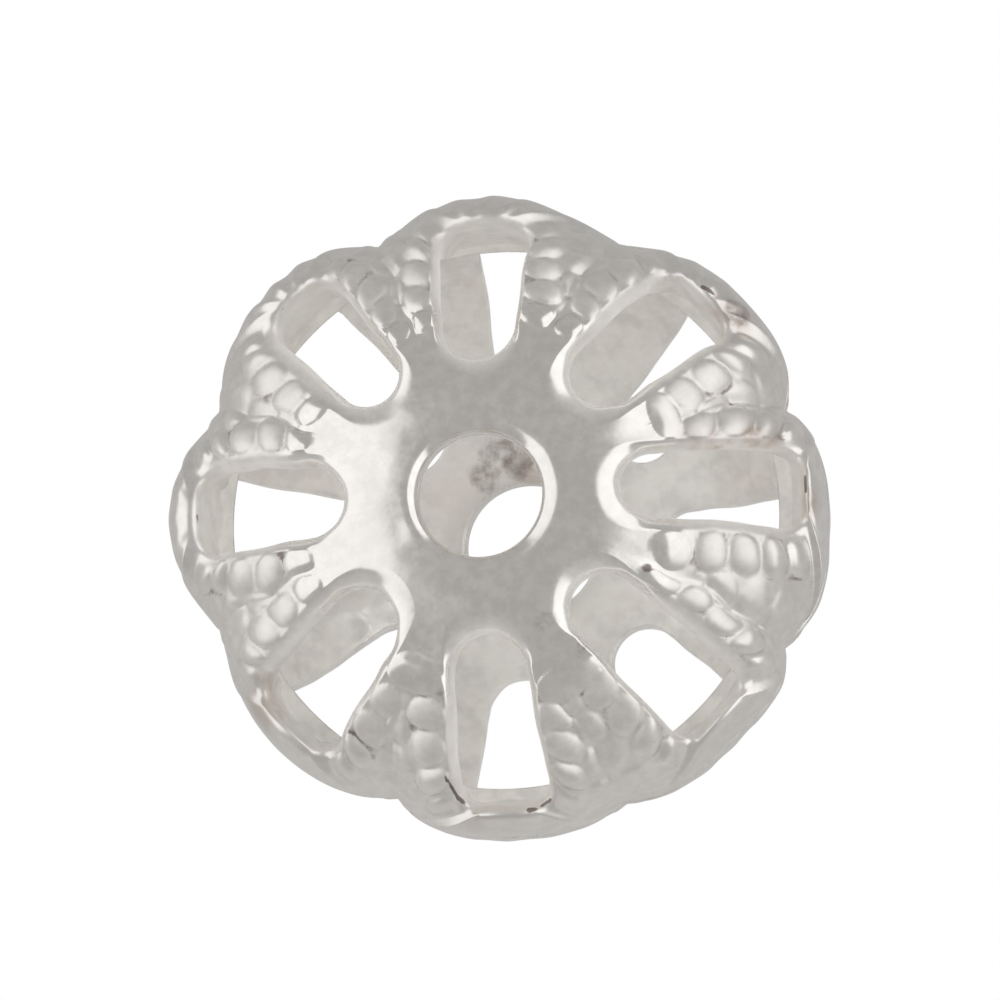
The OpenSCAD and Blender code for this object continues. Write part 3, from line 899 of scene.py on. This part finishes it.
class Nodes:
    """A node tree, with short ways to add nodes. A value is a number, a colour or a node's output."""

    def __init__(self, tree):
        self.tree = tree

    def put(self, socket, value):
        if isinstance(value, bpy.types.NodeSocket):
            self.tree.links.new(value, socket)
        else:
            socket.default_value = value

    def add(self, kind, settings=None, **inputs):
        n = self.tree.nodes.new("ShaderNode" + kind)
        for key, value in (settings or {}).items():
            setattr(n, key, value)
        for key, value in inputs.items():
            self.put(n.inputs[key.replace("_", " ")], value)
        return n

    def place(self):
        return self.add("TexCoord").outputs["Object"]

    def attribute(self, name):
        return self.add("Attribute", {"attribute_name": name}).outputs["Fac"]

    def noise(self, place, scale, detail, roughness):
        n = self.add("TexNoise", Vector=place, Scale=scale, Detail=detail, Roughness=roughness)
        return n.outputs["Fac"]

    def patches(self, place, scale, detail, roughness, low, high):
        """Noise that goes from 0 to 1 between its own values low and high."""
        return self.remap(self.noise(place, scale, detail, roughness), low, high)

    def remap(self, value, from_min, from_max, to_min=0, to_max=1, kind="SMOOTHSTEP"):
        n = self.add("MapRange", {"interpolation_type": kind}, Value=value)
        ends = {"From Min": from_min, "From Max": from_max, "To Min": to_min, "To Max": to_max}
        for key, v in ends.items():
            self.put(n.inputs[key], v)
        return n.outputs["Result"]

    def math(self, operation, a, b):
        n = self.add("Math", {"operation": operation})
        self.put(n.inputs[0], a)
        self.put(n.inputs[1], b)
        return n.outputs[0]

    def times(self, a, b):
        return self.math("MULTIPLY", a, b)

    def blend(self, share, a, b):
        n = self.add("Mix", {"data_type": "RGBA"}, Factor=share)
        for socket, v in ((n.inputs[6], a), (n.inputs[7], b)):
            self.put(socket, (*v, 1) if isinstance(v, tuple) else v)
        return n.outputs[2]


def new_material(name):
    material = bpy.data.materials.new(name)
    material.use_nodes = True
    material.node_tree.nodes.clear()
    return material, Nodes(material.node_tree)


def plate_color(nodes, place, inside, tarnish):
    specks = nodes.noise(place, *SPECKS)
    color = nodes.blend(nodes.patches(place, *CLOUDS), PLATE, PLATE_CLOUD)
    color = nodes.blend(nodes.remap(specks, *SPECK_RANGE), PLATE_SPECK, color)
    # inside, the plate is matte, with a faint brown cast in places
    dull = nodes.blend(nodes.remap(specks, *DULL_SPECK_RANGE), DULL, DULL_SPECK)
    dull = nodes.blend(nodes.patches(place, *MOTTLES), MOTTLE, dull)
    stain = nodes.times(nodes.patches(place, *STAINS), STAIN_SHARE)
    dull = nodes.blend(stain, dull, STAIN)
    color = nodes.blend(inside, color, dull)
    brown = nodes.remap(nodes.attribute("brown"), 0, 1)
    cast = nodes.times(brown, nodes.patches(place, *BROWN_PATCHES))
    color = nodes.blend(cast, color, BROWN_CAST)
    return nodes.blend(nodes.times(tarnish, DARK_SHARE), color, DARK)


def tarnish_share(nodes, place):
    """Tarnish gathers in the creases, in patches, and lies in ragged spots."""
    deep = nodes.remap(nodes.attribute("crease"), *CREASE_RANGE)
    in_creases = nodes.times(deep, nodes.patches(place, *TARNISH_PATCHES))
    spot = nodes.attribute("tarnish")
    ragged = nodes.remap(nodes.math("ADD", spot, nodes.noise(place, *RAGGED)), *RAGGED_RANGE)
    ragged = nodes.times(ragged, nodes.remap(spot, *SPOT_RANGE))
    return nodes.math("MAXIMUM", in_creases, ragged)


def silver():
    material, nodes = new_material("silver_plate")
    place, inside = nodes.place(), nodes.attribute("inside")
    tarnish = tarnish_share(nodes, place)
    polish = nodes.times(nodes.attribute("polish"), POLISH_SHARE)
    dulled = nodes.times(inside, nodes.math("SUBTRACT", 1, polish))
    rough = nodes.remap(nodes.noise(place, *ROUGHNESS), *ROUGHNESS_RANGE, *POLISHED_ROUGH)
    satin = nodes.attribute("satin")
    for share, more in ((dulled, DULL_ROUGH), (satin, SATIN_ROUGH), (tarnish, TARNISH_ROUGH)):
        rough = nodes.math("ADD", rough, nodes.times(share, more))
    fine = nodes.noise(place, *FINE)
    uneven = nodes.add("Bump", Strength=BUMP_STRENGTH, Distance=BUMP_DEPTH, Height=fine)
    shader = nodes.add(
        "BsdfPrincipled",
        Base_Color=plate_color(nodes, place, inside, tarnish),
        Metallic=nodes.math("SUBTRACT", 1, nodes.times(dulled, DULL_METAL)),
        Roughness=rough,
        Normal=uneven.outputs["Normal"],
    )
    nodes.add("OutputMaterial", Surface=shader.outputs[0])
    return material


def glowing_floor():
    """A glowing floor: white to the eye and to matte surfaces, and a soft gray glow, painted light, where
    the silver mirrors it.
    """
    material, nodes = new_material("glowing_floor")
    place = nodes.place()
    y = nodes.add("SeparateXYZ", Vector=place).outputs["Y"]
    # painted light: the floor's gray glow is brighter in front of the bead than behind it, and fades to
    # the room's gray farther away
    near = nodes.remap(y, -BESIDE, BESIDE, NEAR_LIGHT, BEHIND_LIGHT, "LINEAR")
    away = nodes.add("VectorMath", {"operation": "LENGTH"}, Vector=place)
    strength = nodes.remap(away.outputs["Value"], GRAY_FROM, GRAY_TO, near, ROOM_LIGHT)
    gray = nodes.add("Emission", Color=MIRRORED_FLOOR_GLOW, Strength=strength)
    # the floor glows white like a lamp for the camera and for matte surfaces, which it lights from below
    white = nodes.add("Emission", Color=(1, 1, 1, 1), Strength=1)
    ray = nodes.add("LightPath").outputs
    choose = nodes.add("MixShader", Fac=nodes.math("ADD", ray["Is Camera Ray"], ray["Is Diffuse Ray"]))
    nodes.put(choose.inputs[1], gray.outputs[0])
    nodes.put(choose.inputs[2], white.outputs[0])
    nodes.add("OutputMaterial", Surface=choose.outputs[0])
    return material


def make_floor(low):
    mesh = bpy.data.meshes.new("floor")
    corners = [(FLOOR * x, FLOOR * y, low) for x, y in ((-1, -1), (1, -1), (1, 1), (-1, 1))]
    mesh.from_pydata(corners, [], [(0, 1, 2, 3)])
    mesh.materials.append(glowing_floor())
    add_object("floor", mesh)


def make_room():
    """Even gray light from all sides, stronger for the matte surfaces."""
    world = bpy.data.worlds.new("studio")
    bpy.context.scene.world = world
    world.use_nodes = True
    nodes = Nodes(world.node_tree)
    background = world.node_tree.nodes["Background"]
    background.inputs["Color"].default_value = ROOM_GRAY
    ray = nodes.add("LightPath").outputs["Is Diffuse Ray"]
    nodes.put(background.inputs["Strength"], nodes.remap(ray, 0, 1, 1, ROOM_GAIN, "LINEAR"))


def make_panel(name, low, azimuth, width, top_angle, brightness):
    """A soft upright light panel on the floor, facing the bead."""
    az = math.radians(azimuth)
    outward, up = Vector((math.cos(az), math.sin(az), 0)), Vector((0, 0, 1))
    height = PANEL_AWAY * math.tan(math.radians(top_angle))
    light = bpy.data.lights.new(name, "AREA")
    light.shape = "RECTANGLE"
    light.size, light.size_y = width, height
    light.energy = brightness * 4 * width * height
    # the light shines along its own -Z
    turn = Matrix((up.cross(outward), up, outward)).transposed().to_4x4()
    place = PANEL_AWAY * outward + (low + height / 2) * up
    add_object(name, light).matrix_world = Matrix.Translation(place) @ turn


def make_camera():
    lean = math.radians(CAMERA_LEAN)
    x, y = CAMERA_TOWARD
    back = Vector((x * math.sin(lean), y * math.sin(lean), math.cos(lean))).normalized()
    right = Vector((0, 1, 0)).cross(back).normalized()
    turn = Matrix((right, back.cross(right), back)).transposed().to_4x4()
    data = bpy.data.cameras.new("camera")
    data.sensor_width = SENSOR
    data.lens = SENSOR * CAMERA_AWAY_MM * PX_PER_MM / IMAGE_PX
    data.shift_x = (IMAGE_PX / 2 - MIDDLE_PX[0]) / IMAGE_PX
    data.shift_y = (MIDDLE_PX[1] - IMAGE_PX / 2) / IMAGE_PX
    data.clip_start, data.clip_end = 0.01, 10
    camera = add_object("camera", data)
    camera.matrix_world = Matrix.Translation(CAMERA_AWAY_MM * MM * back) @ turn
    bpy.context.scene.camera = camera


metal = silver()
for shell, name in enumerate(("upper_shell_skin", "lower_shell_skin")):
    make_shell(shell, name).data.materials.append(metal)
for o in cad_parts.values():
    o.data.materials.clear()
    o.data.materials.append(metal)

floor_z = cad_box[0].z
make_floor(floor_z)
make_room()
for name, values in PANELS.items():
    make_panel(name, floor_z, *values)
make_camera()
bpy.context.scene.view_settings.view_transform = "Standard"
